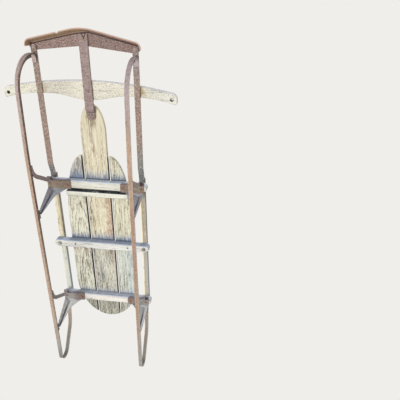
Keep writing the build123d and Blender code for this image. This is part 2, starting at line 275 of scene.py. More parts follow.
# Where the benches and the boards lie, for the paint, the stains and the nails. Stains of one half of
# the sled trade over its middle: each pair is where that half starts and where it is full.
sides = (-1, 1)
leftHalf, rightHalf = (0.05, -0.05), (-0.05, 0.05)
benchFronts = {name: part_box(f"bench_{name}")[0][1] for name in ("front", "middle", "rear")}
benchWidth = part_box("bench_front")[1][1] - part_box("bench_front")[0][1]
benchMiddles = {name: front + benchWidth / 2 for name, front in benchFronts.items()}
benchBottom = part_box("bench_front")[0][2]
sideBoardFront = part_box("deck_board_left")[0][1]
boardBottom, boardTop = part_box("deck_board_centre")[0][2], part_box("deck_board_centre")[1][2]

# Weathered wood: each noise has its cells a metre across and along the grain, detail, shift and roughness
plank = {
    "bend": (9.0, 3.0, 2.0, 3.0),
    "teeth": (120.0, 12.0, 2.0, 9.0),
    "lines": (340.0, 6.0, 3.0, 23.0, 0.6),
    "streaks": (320.0, 28.0, 4.0, 5.0, 0.66),
    "flecks": (420.0, 90.0, 2.0, 7.0, 0.6),
    "patches": (28.0, 8.0, 3.0, 13.0),
    "ridges": (95.0, 9.0, 3.0, 17.0),
    "cracked": (30.0, 9.0, 2.0, 19.0),
    "paleness": 0.58,  # the tone picked while every pattern is at its middle, 0 dark to 1 pale
    "wander": 0.9,  # how far the rings fray, in ring widths
    "fine": 1.15,  # share of the streaks and flecks in every plank
    "crackWidth": (0.018, 0.005), "crackedFrom": (0.53, 0.6), "crackDepth": 1.2,
    "roughness": 0.88, "paleShine": 0.16, "depth": 0.0011,
}


def woodFinish(name, look, stains):
    # Growth rings are the distance from a heart line that runs along the grain with a slight tilt,
    # counted in ring widths; each ring is a saw-tooth, squared, pale to dark. The rings and four noises
    # stretched along the grain, as streaks, flecks, patches and lines, add up to one number, and that
    # number picks a tone between dark and pale. Cracks are the lines where a long noise passes its middle.
    wood = Finish(name, look["seed"])
    lengthwise = look["grain"] == "Y"
    along, across = (wood.y, wood.x) if lengthwise else (wood.x, wood.y)

    def fibres(kind):
        wide, long, *rest = plank[kind]
        return wood.noise((wide, long, wide) if lengthwise else (long, wide, wide), *rest)

    bend = fibres("bend") - 0.5
    sideways = across - look["heart"][0] - along * look["tilt"][0] + bend * look["bend"]
    depth = wood.z - look["heart"][1] - along * look["tilt"][1]
    rings = (sideways * sideways + depth * depth) ** 0.5 / look["ring"]
    tooth = wood.fract(rings + (fibres("teeth") - 0.5) * plank["wander"]) ** 2.0
    streaks = (fibres("streaks") - 0.5) * look["streaks"] * plank["fine"]
    flecks = (fibres("flecks") - 0.5) * look["flecks"] * plank["fine"]
    patches = (fibres("patches") - 0.5) * look["patches"]
    lines = (fibres("lines") - 0.5) * look["lines"]
    weather = plank["paleness"] - tooth * look["rings"] + streaks + flecks + patches + lines
    ridge = wood.step(abs(fibres("ridges") - 0.5), *plank["crackWidth"])
    cracks = ridge * wood.step(fibres("cracked"), *plank["crackedFrom"])
    coats = [*stains(wood, weather), (cracks * look["cracks"], look["crack"])]
    colour = wood.layers(wood.ramp(weather, look["tones"]), *coats)
    roughness = plank["roughness"] - weather * plank["paleShine"]
    return wood.finish(colour, roughness, weather - cracks * plank["crackDepth"], plank["depth"], look["relief"])


# Old painted steel: each noise has its cells a metre along x, y and z, detail, shift and roughness, but
# the grains' cells are in each part's own look
sheet = {
    "slow": ((16.0, 12.0, 16.0), 3.0, 1.0),
    "middle": ((80.0, 60.0, 80.0), 4.0, 4.0, 0.65),
    "grain": (4.0, 8.0, 0.75),
    "pits": ((1100.0, 1100.0, 1100.0), 2.0, 11.0),
    "slowFrom": (0.36, 0.64), "rustSoft": 0.14, "darkerFrom": (0.5, 0.38), "lighterFrom": (0.5, 0.62),
    "lightShare": 0.8, "pitsFrom": (0.6, 0.75), "pitShare": 0.3,
    "roughness": 0.6, "depth": 0.0009, "relief": 0.7, "specular": 0.25,
}


def steelFinish(name, look, stains=None, wearAndPaintedLight=None):
    # Two paint tones traded by a slow noise, rust where a middle noise runs high, grains a few
    # millimetres wide from a fast noise that darkens and lightens what is below, and fine dark pits.
    # Stains lie under the grains, wear and painted light over them.
    steel = Finish(name, look["seed"])
    slow = steel.step(steel.noise(*sheet["slow"]), *sheet["slowFrom"])
    middle = steel.noise(*sheet["middle"])
    grain = steel.noise((look["cells"],) * 3, *sheet["grain"])
    pits = steel.noise(*sheet["pits"])
    rusted = steel.step(middle, look["rustFrom"], look["rustFrom"] + sheet["rustSoft"])
    darker = steel.step(grain, *sheet["darkerFrom"])
    lighter = steel.step(grain, *sheet["lighterFrom"])
    colour = steel.layers(
        steel.mix(slow, look["paint"], look["paintTwo"]),
        *(stains(steel) if stains else ()),
        (rusted * look["rusted"], look["rust"]),
        (darker * look["grains"], look["dark"]),
        (lighter * look["grains"] * sheet["lightShare"], look["light"]),
        (steel.step(pits, *sheet["pitsFrom"]) * sheet["pitShare"], look["dark"]),
        *(wearAndPaintedLight(steel) if wearAndPaintedLight else ()),
    )
    height = middle * 0.6 + grain * 0.7 + pits * 0.25 - rusted * 0.3
    roughness = sheet["roughness"] + rusted * 0.2 + darker * 0.1
    return steel.finish(colour, roughness, height, sheet["depth"], sheet["relief"], sheet["specular"])


# Deck boards: the grain runs along the sled. Each has cream tones in front and grey ones behind the
# middle bench, and the tail that sticks out behind the rear bench is the darkest.
boardWood = {
    "grain": "Y", "bend": 0.02, "rings": 0.25, "lines": 0.9, "streaks": 1.5, "flecks": 1.3, "patches": 0.7,
    "crack": tone(66, 56, 48), "cracks": 0.9, "relief": 0.55,
}
boardLooks = {
    "deck_board_left": {
        "seed": 1.0, "heart": (-0.064, 0.094), "tilt": (0.0, 0.1), "ring": 0.0055,
        "rings": 0.5, "lines": 1.3, "streaks": 1.5,
        "tones": shades((150, 138, 118), (215, 210, 188), (236, 232, 209), (244, 241, 219), (252, 250, 233)),
        "rearTones": shades((130, 120, 102), (198, 195, 177), (228, 225, 206), (242, 240, 221), (255, 253, 240)),
    },
    "deck_board_centre": {
        "seed": 2.0, "heart": (0.012, 0.06), "tilt": (0.01, -0.02), "ring": 0.0062,
        "tones": shades((142, 122, 98), (202, 190, 162), (224, 214, 185), (236, 227, 200), (249, 242, 219)),
        "rearTones": shades((104, 94, 80), (166, 160, 145), (197, 194, 178), (213, 210, 194), (238, 234, 217)),
    },
    "deck_board_right": {
        "seed": 3.0, "heart": (0.11, 0.09), "tilt": (-0.012, 0.03), "ring": 0.0058,
        "rings": 0.35, "lines": 1.6, "streaks": 1.8,
        "tones": shades((138, 128, 104), (198, 192, 166), (217, 212, 186), (229, 225, 200), (242, 238, 216)),
        "rearTones": shades((136, 132, 116), (184, 184, 170), (208, 210, 197), (220, 223, 210), (238, 240, 228)),
    },
}
tailTones = shades((86, 76, 64), (146, 141, 126), (174, 171, 156), (192, 189, 175), (212, 210, 197))

# A pair of places is where a stain starts and where it is full; bands are low, high and soft; spots are
# centre, reach, soft and stretch; noises are cells a metre along x, y and z, detail, shift and roughness.
# The blues are tone, strength and how far they ran from a bench.
deckStains = {
    "ragged": ((200.0, 40.0, 200.0), 4.0, 31.0, 0.75), "long": ((150.0, 3.5, 150.0), 3.0, 39.0, 0.6),
    "broken": ((60.0, 12.0, 60.0), 2.0, 41.0), "fingers": ((330.0, 26.0, 330.0), 3.0, 37.0, 0.7),
    "topFrom": (boardBottom + 0.006, boardBottom + 0.009), "underFrom": (boardBottom + 0.004, boardBottom + 0.0005),
    "rearFrom": (0.105, 0.15), "topRearFrom": (-0.03, 0.27), "tailFrom": (0.325, 0.35),
    "noseFrom": (-0.17, -0.24), "streaksFrom": (-0.11, -0.16), "streak": tone(138, 120, 98),
    "gap": 0.0395, "gapHalf": 0.0036, "gapFrom": (sideBoardFront - 0.002, sideBoardFront + 0.006),
    "gapShadeAndDirt": tone(34, 26, 22), "haze": tone(176, 184, 198), "contactShadow": tone(58, 70, 92),
    "blues": {
        "front": (tone(98, 112, 130), 0.88, 0.022),
        "middle": (tone(98, 114, 138), 0.88, 0.018),
        "rear": (tone(134, 140, 152), 0.6, 0.012),
    },
    "blueLeft": tone(110, 130, 156), "contactShadowFrom": (0.0055, 0.0015),
    "blush": tone(198, 172, 156), "leftBlush": (0.1, 0.15, 0.02),
    "shoulder": tone(172, 172, 178), "shoulderSpeck": tone(112, 98, 92),
    "shoulderSpot": ((-0.058, benchFronts["front"] - 0.028), 0.012, 0.03, (1.1, 1.2)),
    "rightTint": tone(204, 222, 230), "rightTintFrom": (0.055, 0.085),
}
centreStains = {
    "brown": tone(200, 166, 138), "brownFrom": (0.013, 0.028), "brownAlong": (-0.045, 0.09, 0.03),
    "redSpeck": tone(146, 108, 86), "specks": ((300.0, 120.0, 300.0), 3.0, 45.0, 0.65),
    "blushFrom": (0.02, 0.032), "blushAlong": (0.12, 0.2, 0.03),
    "streakAcross": (-0.009, 0.0, 0.006), "streakAlong": (-0.29, -0.2, 0.05),
    "leftEdgeFrom": (-0.026, -0.034), "leftEdgeAlong": (-0.26, -0.13, 0.03),
    "smudge": tone(134, 136, 140), "smudgeSpot": ((-0.012, 0.235), 0.008, 0.03, (0.35, 1.6)),
    "tabRust": tone(134, 118, 92), "tabSpot": ((0.001, -0.285), 0.006, 0.012, (0.9, 1.5)),
    "besideTab": ((-0.014, -0.298), 0.003, 0.005, (0.8, 1.4)),
}


def centreBoardStains(wood, weather, ragged, long, top):
    # reddish and speckled along the right edge, blushed behind that, streaked at the nose and along the
    # left edge, smudged grey behind the middle bench, and rusty round the folded tab
    brown = wood.step(wood.x + ragged * 0.05, *centreStains["brownFrom"])
    brown = brown * wood.band(wood.y + ragged * 0.1, *centreStains["brownAlong"])
    brown = brown * (1.0 - top * 0.6)
    specks = wood.step(wood.noise(*centreStains["specks"]), 0.44, 0.62)
    blush = wood.step(wood.x + ragged * 0.04, *centreStains["blushFrom"])
    blush = blush * wood.band(wood.y, *centreStains["blushAlong"]) * (1.0 - top)
    streak = wood.band(wood.x + (long - 0.5) * 0.02, *centreStains["streakAcross"])
    streak = streak * wood.band(wood.y, *centreStains["streakAlong"])
    leftEdge = wood.step(wood.x + ragged * 0.02, *centreStains["leftEdgeFrom"])
    leftEdge = leftEdge * wood.band(wood.y, *centreStains["leftEdgeAlong"])
    besideTab = wood.spot(*centreStains["besideTab"]) * wood.step(ragged, -0.1, 0.05)
    return [
        (brown * (1.2 - weather) * 0.7, centreStains["brown"]),
        (brown * specks * 0.6, centreStains["redSpeck"]),
        (streak * (0.85 - weather), deckStains["streak"]),
        (wood.spot(*centreStains["smudgeSpot"]) * (1.25 - weather) * 0.85, centreStains["smudge"]),
        (blush * (1.15 - weather) * 0.6, deckStains["blush"]),
        (leftEdge * (0.9 - weather), deckStains["streak"]),
        (wood.spot(*centreStains["tabSpot"]) * (1.15 - weather) * 0.9, centreStains["tabRust"]),
        (besideTab * 0.6, centreStains["tabRust"]),
    ]


def boardStains(name, look):
    def stains(wood, weather):
        # Grey behind the middle bench, fading slowly on top, darker at the tail, clean and finely streaked
        # at the nose. Then each board's own stains, blue-grey paint that ran onto the wood ahead of each
        # bench, with a painted contact shadow where they touch, and painted shade and dirt along the gaps.
        ragged = wood.noise(*deckStains["ragged"]) - 0.5
        long = wood.noise(*deckStains["long"])
        top = wood.step(wood.z, *deckStains["topFrom"])
        under = wood.step(wood.z, *deckStains["underFrom"])
        rear = wood.step(wood.y + ragged * 0.12, *deckStains["rearFrom"])
        rear = rear + (wood.step(wood.y + ragged * 0.35, *deckStains["topRearFrom"]) - rear) * top
        tail = wood.step(wood.y, *deckStains["tailFrom"])
        nose = wood.step(wood.y, *deckStains["noseFrom"])
        thin = wood.step(abs(long - 0.5), 0.02, 0.004) * wood.step(wood.noise(*deckStains["broken"]), 0.4, 0.55)
        coats = [
            (rear, wood.ramp(weather, look["rearTones"])),
            (tail, wood.ramp(weather, tailTones)),
            (nose * 0.7, wood.ramp(0.64 + (long - 0.5) * 1.5, look["tones"])),
            (thin * wood.step(wood.y, *deckStains["streaksFrom"]) * 0.5, deckStains["streak"]),
        ]
        if name == "deck_board_centre":
            coats += centreBoardStains(wood, weather, ragged, long, top)
        if name == "deck_board_right":
            tint = wood.step(wood.x + ragged * 0.06, *deckStains["rightTintFrom"]) * rear * (1.0 - top * 0.7)
            coats.append((tint * 0.25, deckStains["rightTint"]))
        if name == "deck_board_left":
            blush = wood.band(wood.y + ragged * 0.06, *deckStains["leftBlush"]) * (1.15 - weather) * (1.0 - top)
            shoulder = wood.spot(*deckStains["shoulderSpot"])
            coats.append((blush * 0.4, deckStains["blush"]))
            coats.append((shoulder * 0.55, deckStains["shoulder"]))
            coats.append((shoulder * wood.step(weather, 0.55, 0.3) * 0.65, deckStains["shoulderSpeck"]))
        fingers = wood.noise(*deckStains["fingers"]) - 0.5
        for bench, (blue, strength, far) in deckStains["blues"].items():
            if (name, bench) == ("deck_board_left", "front"):
                blue = deckStains["blueLeft"]
            ahead = benchFronts[bench] - wood.y
            ran = ahead + fingers * 0.06
            before = wood.step(wood.y, benchFronts[bench] + 0.004, benchFronts[bench]) * under
            # painted contact shadow on the boards where they meet each bench
            paintedContactShadow = wood.step(ahead, *deckStains["contactShadowFrom"]) * strength * 0.75 * before
            coats.append((wood.step(ran, far * 1.8, far * 0.4) * before * 0.5, deckStains["haze"]))
            coats.append((wood.step(ran, far, 0.0) * strength * before, blue))
            coats.append((paintedContactShadow, deckStains["contactShadow"]))
        edge, half = deckStains["gap"], deckStains["gapHalf"]
        gap = wood.band(abs(wood.x), edge - half, edge + half, 0.0006) * wood.step(wood.y, *deckStains["gapFrom"])
        # painted shade with some dirt on the board edges along each gap
        coats.append((gap * 0.97, deckStains["gapShadeAndDirt"]))
        return coats
    return stains


for name, look in boardLooks.items():
    dress(name, woodFinish(name + "Wood", boardWood | look, boardStains(name, look)))
print("deck boards finished")

# Benches and cleat: the grain runs across the sled, with blue-grey paint left on the benches' front
# faces, and on the cleat's front face a near-black painted shade for the shadowed gap behind the front bench
benchWood = {
    "grain": "X", "tilt": (0.02, 0.015), "bend": 0.012, "ring": 0.006,
    "tones": shades((150, 146, 132), (212, 211, 196), (228, 226, 212), (236, 234, 221), (247, 247, 238)),
    "rings": 0.22, "lines": 0.6, "streaks": 1.2, "flecks": 0.9, "patches": 0.8,
    "crack": tone(92, 86, 78), "cracks": 0.75, "relief": 0.5,
}
benchLooks = {
    "bench_front": {"seed": 11.0, "paint": tone(220, 230, 246), "painted": 0.95, "heart": (-0.08, 0.07)},
    "bench_middle": {
        "seed": 12.0, "paint": tone(164, 178, 206), "painted": 0.92, "heart": (0.13, 0.09), "lines": 1.1,
        "tones": shades((146, 140, 132), (206, 205, 198), (226, 225, 218), (236, 236, 230), (248, 248, 244)),
    },
    "bench_rear": {
        "seed": 13.0, "paint": tone(200, 210, 230), "painted": 0.92, "heart": (0.34, 0.06),
        "tones": shades((158, 148, 138), (218, 211, 200), (236, 230, 220), (243, 238, 230), (252, 249, 243)),
    },
    # the cleat's near-black paint is painted shade for the shadowed gap between it and the front bench
    "cleat": {
        "seed": 14.0, "paint": tone(38, 50, 62), "painted": 1.0, "heart": (-0.05, 0.08),
        "tones": shades((176, 170, 154), (226, 224, 208), (238, 236, 221), (245, 243, 230), (252, 251, 243)),
    },
}
benchMarks = {
    "endGrain": tone(212, 206, 208), "rear": tone(120, 110, 98), "paintPale": tone(226, 230, 238),
    "thin": ((50.0, 200.0, 200.0), 4.0, 43.0, 0.65),
}


def benchStains(look):
    def stains(wood, weather):
        # paint on the front face, on the cleat a near-black painted shade, worn where the wood is palest, a browner
        # back and greyer ends
        facing = wood.facing()
        face = wood.step(facing[1], -0.35, -0.75)
        behind = wood.step(facing[1], 0.35, 0.75)
        ends = wood.step(abs(facing[0]), 0.6, 0.9)
        thin = wood.noise(*benchMarks["thin"])
        paint = wood.mix(wood.step(thin, 0.5, 0.68) * 0.45, look["paint"], benchMarks["paintPale"])
        return [
            (behind * 0.55, benchMarks["rear"]),
            (ends * 0.7, benchMarks["endGrain"]),
            (face * look["painted"] * wood.step(weather, 1.1, 0.75), paint),
        ]
    return stains


for name, look in benchLooks.items():
    dress(name, woodFinish(name + "Wood", benchWood | look, benchStains(look)))
print("benches finished")

# Side rails: straight-grained strips, yellow in front on the left and grey behind. Each edge band is
# painted light: a painted highlight along the left edge, and along the right edge painted shade on the
# left rail and a paler painted highlight on the right rail. Each band is its tone, its share, and how
# far in from the edge it starts and is full.
railWood = {
    "grain": "Y", "heart": (0.3, 0.2), "tilt": (0.01, 0.01), "bend": 0.02, "ring": 0.0035,
    "rings": 0.2, "lines": 0.8, "streaks": 1.2, "flecks": 0.9, "patches": 0.9,
    "crack": tone(84, 74, 64), "cracks": 0.8, "relief": 0.5,
}
railLooks = {
    "side_rail_left": {
        "seed": 21.0, "rearTone": tone(210, 214, 208), "rearShare": 1.0,
        "leftEdge": (tone(244, 238, 210), 0.3, 0.0052, 0.0026),
        "rightEdge": (tone(180, 170, 144), 0.75, 0.0075, 0.0045),
        "tones": shades((150, 136, 108), (212, 200, 166), (229, 218, 184), (238, 229, 198), (246, 240, 216)),
    },
    "side_rail_right": {
        "seed": 22.0, "rearTone": tone(182, 180, 172), "rearShare": 0.9,
        "leftEdge": (tone(253, 240, 210), 0.95, 0.0052, 0.0026),
        "rightEdge": (tone(206, 200, 204), 0.45, 0.004, 0.002),
        "tones": shades((118, 100, 82), (160, 146, 122), (178, 166, 142), (194, 182, 158), (216, 208, 188)),
    },
}
railMarks = {
    # the side tones are painted shade on each rail's right side, in front and behind
    "side": tone(146, 140, 128), "sideRear": tone(134, 150, 162), "rust": tone(150, 112, 84),
    "rearFrom": (0.07, 0.2),
    "ragged": ((120.0, 9.0, 120.0), 3.0, 33.0), "specks": ((120.0, 60.0, 120.0), 3.0, 35.0, 0.6),
}


def railStains(name, look):
    leftSide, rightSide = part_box(name)[0][0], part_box(name)[1][0]

    def stains(wood, weather):
        # greyer behind, a painted highlight along the left edge, along the right one painted shade on the left
        # rail and a paler painted highlight on the right rail, painted shade on the right side, with specks of
        # rust
        ragged = wood.noise(*railMarks["ragged"]) - 0.5
        rear = wood.step(wood.y + ragged * 0.12, *railMarks["rearFrom"])
        specks = wood.step(wood.noise(*railMarks["specks"]), 0.62, 0.7)
        side = wood.step(wood.facing()[0], 0.3, 0.8)
        leftTone, leftShare, start, full = look["leftEdge"]
        leftEdge = wood.step(wood.x + ragged * 0.004, leftSide + start, leftSide + full)
        rightTone, rightShare, start, full = look["rightEdge"]
        rightEdge = wood.step(wood.x + ragged * 0.004, rightSide - start, rightSide - full)
        return [
            (rear * look["rearShare"] * (1.3 - weather), look["rearTone"]),
            # painted highlight along the left edge, then the painted band along the right edge and painted shade on the
            # right side
            (leftEdge * leftShare, leftTone),
            (rightEdge * (1.0 - rear * 0.8) * rightShare, rightTone),
            (side * 0.8, wood.mix(rear, railMarks["side"], railMarks["sideRear"])),
            (specks * 0.5, railMarks["rust"]),
        ]
    return stains


for name, look in railLooks.items():
    dress(name, woodFinish(name + "Wood", railWood | look, railStains(name, look)))

# Steering bar: pale, finely speckled, rust-stained beside the side straps
barLook = {
    "seed": 31.0, "grain": "X", "heart": (-0.33, 0.2), "tilt": (0.0, 0.01), "bend": 0.02, "ring": 0.005,
    "tones": shades((166, 156, 134), (216, 209, 190), (231, 226, 208), (240, 236, 218), (249, 246, 230)),
    "rings": 0.1, "lines": 0.4, "streaks": 0.8, "flecks": 0.6, "patches": 0.6,
    "crack": tone(110, 100, 88), "cracks": 0.5, "relief": 0.45,
}
barMarks = {
    "rust": tone(160, 134, 104), "leftSpot": ((-0.124, -0.372), 0.003, 0.012, (1.0, 1.8)),
    "rustRight": tone(172, 148, 98), "rightSpot": ((0.147, -0.372), 0.004, 0.016, (1.0, 1.8)),
    "pale": tone(252, 249, 238), "paleFrom": (0.15, 0.2), "front": tone(226, 226, 238), "speck": tone(104, 98, 80),
    "endHoles": [(s * 0.2305, -0.358) for s in sides], "holeReach": 0.0046,
    "rim": tone(70, 60, 50), "holeShade": tone(40, 34, 30),
    "ragged": ((90.0, 90.0, 90.0), 3.0, 51.0), "specks": ((300.0, 330.0, 330.0), 3.0, 53.0, 0.7),
}


def barStains(wood, weather):
    # pale right end, a bluish painted highlight on the front face, rust washed out of the bolts, dark
    # specks, and near each end a hole with a dark rim and painted shade inside
    ragged = wood.noise(*barMarks["ragged"]) - 0.5
    specks = wood.step(wood.noise(*barMarks["specks"]), 0.53, 0.66)
    front = wood.step(wood.facing()[1], -0.3, -0.7)
    inside = wood.step(abs(wood.facing()[2]), 0.5, 0.2)
    holes, rims = [
        wood.either(*[wood.spot(place, barMarks["holeReach"], soft) for place in barMarks["endHoles"]])
        for soft in (0.0006, 0.0012)
    ]
    return [
        (wood.step(wood.x, *barMarks["paleFrom"]) * 0.5, barMarks["pale"]),
        # painted highlight on the front face
        (front * 0.75, barMarks["front"]),
        (wood.spot(*barMarks["rightSpot"]) * wood.step(ragged, -0.3, 0.1) * 0.85, barMarks["rustRight"]),
        (wood.spot(*barMarks["leftSpot"]) * wood.step(ragged, -0.3, 0.1) * 0.45, barMarks["rust"]),
        (specks * 0.75, barMarks["speck"]),
        (rims * 0.75, barMarks["rim"]),
        # painted shade inside the holes
        (holes * inside, barMarks["holeShade"]),
    ]


dress("steering_bar", woodFinish("steeringBarWood", barLook, barStains))
print("rails and steering bar finished")

# Steel parts: the same old finish in each part's own colours, with grains of so many cells a metre
steelBase = {"cells": 290.0, "grains": 0.7, "rustFrom": 0.5, "rusted": 0.35}
runnerLook = steelBase | {
    "seed": 61.0, "paint": tone(198, 168, 144), "paintTwo": tone(186, 160, 138), "rust": tone(166, 128, 98),
    "dark": tone(112, 86, 70), "light": tone(208, 190, 174), "grains": 0.45,
}
kneeLook = steelBase | {
    "seed": 62.0, "paint": tone(176, 184, 194), "paintTwo": tone(188, 190, 196), "rust": tone(148, 132, 118),
    "dark": tone(112, 106, 110), "light": tone(206, 206, 214), "grains": 0.45,
}
strapLook = steelBase | {
    "seed": 63.0, "paint": tone(163, 142, 138), "paintTwo": tone(155, 134, 130), "rust": tone(146, 118, 106),
    "dark": tone(110, 90, 84), "light": tone(204, 190, 184),
}
sideStrapLook = strapLook | {"paint": tone(165, 145, 130), "paintTwo": tone(155, 136, 121), "grains": 0.85}
centreStrapLook = strapLook | {"seed": 66.0, "grains": 0.55}
bumperLook = steelBase | {
    "seed": 64.0, "paint": tone(149, 121, 114), "paintTwo": tone(143, 116, 109), "rust": tone(132, 102, 90),
    "dark": tone(68, 50, 46), "light": tone(212, 194, 180), "grains": 0.95, "cells": 430.0,
}
boltLook = steelBase | {
    "seed": 65.0, "paint": tone(124, 104, 94), "paintTwo": tone(112, 92, 82), "rust": tone(120, 82, 60),
    "dark": tone(76, 60, 52), "light": tone(164, 150, 140), "footFrom": (0.1245, 0.1235),
}

runnerMarks = {
    "right": tone(156, 120, 102), "curl": tone(184, 168, 167), "curlTop": tone(176, 165, 172),
    "curlRight": tone(146, 137, 147), "middleRight": tone(226, 200, 170), "rear": tone(176, 152, 128),
    "rearLeft": tone(192, 168, 146), "heel": tone(150, 162, 162), "strip": tone(112, 122, 118),
    # on the next line, the side tone is partly painted shade and the last tone partly a painted highlight
    "tipLeft": tone(106, 114, 112), "inner": tone(140, 122, 108), "side": tone(58, 34, 22), "wearAndPaintedLight": tone(222, 210, 204),
    "curlFrom": (-0.2, -0.38), "behindCurl": (-0.42, -0.2), "middleAlong": (-0.25, -0.11, 0.06),
    "rearFrom": (0.05, 0.2), "heelFrom": (0.3, 0.5), "tipFrom": (0.45, 0.5), "riseFrom": (0.015, 0.055),
    # the last two pairs place the painted highlight on the running face's edges and the painted shade on the left
    # runner's inner edge
    "middle": 0.139, "wearAndHighlightFrom": (0.0042, 0.0056), "shadeEdgeFrom": (0.0016, 0.003),
}


def runnerStains(steel):
    # mauve at the front curl, brown behind it on the right, tan along the ground, grey at the heel, dark
    # brown on the sides that is partly painted shade, pale edges that are wear and painted highlight, and
    # painted shade along the inner edge under the left runner
    facing = steel.facing()
    curl = steel.step(steel.y, *runnerMarks["curlFrom"])
    rear = steel.step(steel.y, *runnerMarks["rearFrom"])
    heel = steel.step(steel.y, *runnerMarks["heelFrom"])
    side = steel.step(abs(facing[0]), 0.5, 0.8)
    back = steel.step(facing[2], 0.3, 0.6)
    wearAndPaintedLight = steel.step(abs(abs(steel.x) - runnerMarks["middle"]), *runnerMarks["wearAndHighlightFrom"])
    wearAndPaintedLight = wearAndPaintedLight * steel.step(abs(facing[0]), 0.5, 0.2)
    rise = steel.step(steel.z, *runnerMarks["riseFrom"])
    onLeft = steel.step(steel.x, *leftHalf)
    paintedShadeEdge = steel.step(steel.x + runnerMarks["middle"], *runnerMarks["shadeEdgeFrom"]) * onLeft * (1.0 - rise)
    strip = steel.step(steel.z, 0.006, 0.014) * steel.step(steel.y, 0.3, 0.4)
    right = steel.step(steel.x, *rightHalf) * steel.step(steel.y, *runnerMarks["behindCurl"])
    middleRight = (1.0 - onLeft) * steel.band(steel.y, *runnerMarks["middleAlong"])
    return [
        (right * 0.55, runnerMarks["right"]),
        (curl * (1.0 - right) * 0.85, steel.mix(onLeft, runnerMarks["curlTop"], runnerMarks["curl"])),
        (curl * right * rise * 0.65, runnerMarks["curlRight"]),
        (middleRight * 0.3, runnerMarks["middleRight"]),
        (rear * 0.8, steel.mix(onLeft, runnerMarks["rear"], runnerMarks["rearLeft"])),
        (heel * 0.8, steel.mix(strip, runnerMarks["heel"], runnerMarks["strip"])),
        (onLeft * steel.step(steel.y, *runnerMarks["tipFrom"]) * 0.6, runnerMarks["tipLeft"]),
        (back * 0.6, runnerMarks["inner"]),
        # the sides: partly the steel's own dark brown, partly painted shade
        (side * 0.85, runnerMarks["side"]),
        # pale edges: wear with a painted highlight
        (wearAndPaintedLight * 0.6, runnerMarks["wearAndPaintedLight"]),
        # painted shade along the inner edge of the left runner
        (paintedShadeEdge * steel.step(steel.y, 0.5, -0.1) * steel.step(facing[2], 0.3, -0.2) * 0.95, runnerMarks["side"]),
    ]


kneeMarks = {
    "saddle": tone(132, 98, 68), "saddleOlive": tone(122, 104, 66), "saddleRear": tone(142, 134, 130),
    "saddleInner": tone(120, 98, 82), "redRust": tone(150, 92, 68), "edge": tone(92, 70, 60),
    # on this line and the next, the tones for faces turned towards +X and towards -X are painted light and shade,
    # copying how each wing is lit
    "turned": tone(214, 208, 222), "turnedRight": tone(216, 214, 212), "turnedRear": tone(254, 255, 252),
    "away": tone(204, 226, 224), "rearWing": tone(246, 248, 242), "bend": tone(140, 142, 146),
    "lip": tone(150, 154, 176), "fold": tone(58, 70, 96),
    "leg": tone(150, 120, 108), "legRear": tone(166, 158, 152), "legLow": tone(74, 52, 40),
    "rivets": (0.084, 0.139), "rivetHeight": 0.108, "rustReach": (0.012, 0.004),
    "crease": 0.1335, "creaseWidth": (0.0042, 0.0012), "innerFrom": (0.118, 0.106),
    "rearFrom": (0.1, 0.12), "plateFrom": (0.105, 0.107), "ragged": ((70.0, 70.0, 70.0), 3.0, 71.0),
}


def kneeStains(steel):
    # Brown saddle under the bench, red rust round its inner rivet, blue-grey wings that are paler on the
    # rear knees and whose tones by facing are painted light and shade, a shadowed fold down the crease,
    # and a brown leg, grey on the rear knees and dark below
    facing = steel.facing()
    rear = steel.step(steel.y, *kneeMarks["rearFrom"])
    behind = steel.y - (rear * (benchFronts["rear"] - benchFronts["front"]) + benchFronts["front"])
    onRight = steel.step(steel.x, *rightHalf)
    ragged = steel.noise(*kneeMarks["ragged"]) - 0.5
    plate = steel.step(steel.z, *kneeMarks["plateFrom"])
    saddle = plate * steel.step(behind + ragged * 0.006, benchWidth + 0.006, benchWidth + 0.001)
    lip = plate * steel.step(facing[1], -0.5, -0.8)
    crease = steel.step(abs(abs(steel.x) - kneeMarks["crease"]), *kneeMarks["creaseWidth"])
    crease = crease * steel.step(steel.z, 0.107, 0.103)
    turned, away = steel.step(facing[0], 0.15, 0.5), steel.step(facing[0], -0.15, -0.5)
    inner = steel.step(abs(steel.x) + ragged * 0.03, *kneeMarks["innerFrom"])
    bend = plate * steel.step(behind, benchWidth + 0.001, benchWidth + 0.005)
    edge = saddle * steel.step(behind, 0.0032, 0.0014) * steel.step(facing[2], -0.3, -0.7)
    leg = steel.step(behind, -0.004, -0.006)
    across = abs(steel.x) - kneeMarks["rivets"][0]
    along = behind - benchWidth / 2
    fromRivet = (across * across + along * along) ** 0.5 + ragged * 0.01
    nearRivet = steel.step(fromRivet, *kneeMarks["rustReach"])
    turnedTone = steel.mix(onRight, kneeMarks["turned"], kneeMarks["turnedRight"])
    saddleTone = steel.mix(steel.step(ragged, -0.06, 0.1), kneeMarks["saddleOlive"], kneeMarks["saddle"])
    return [
        (rear * (0.95 - onRight * 0.45), kneeMarks["rearWing"]),
        # painted light and shade: each wing's tone follows which way it faces
        (turned * 0.85, steel.mix(rear * (1.0 - onRight), turnedTone, kneeMarks["turnedRear"])),
        (away * (1.0 - rear) * 0.85, steel.mix(onRight, kneeMarks["away"], kneeMarks["bend"])),
        (bend * (1.0 - rear * 0.5) * 0.75, kneeMarks["bend"]),
        (crease * (steel.step(steel.z, 0.1, 0.07) * 0.45 + 0.5), kneeMarks["fold"]),
        (leg * 0.8, steel.mix(rear, kneeMarks["leg"], kneeMarks["legRear"])),
        (leg * steel.step(facing[2], -0.3, -0.7) * (0.85 - rear * 0.3), kneeMarks["legLow"]),
        (saddle * 0.9, steel.mix(rear, saddleTone, kneeMarks["saddleRear"])),
        (saddle * rear * inner * 0.75, kneeMarks["saddleInner"]),
        (nearRivet * saddle * (0.6 - rear * 0.2), kneeMarks["redRust"]),
        (edge * 0.75, kneeMarks["edge"]),
        (lip * 0.8, kneeMarks["lip"]),
    ]


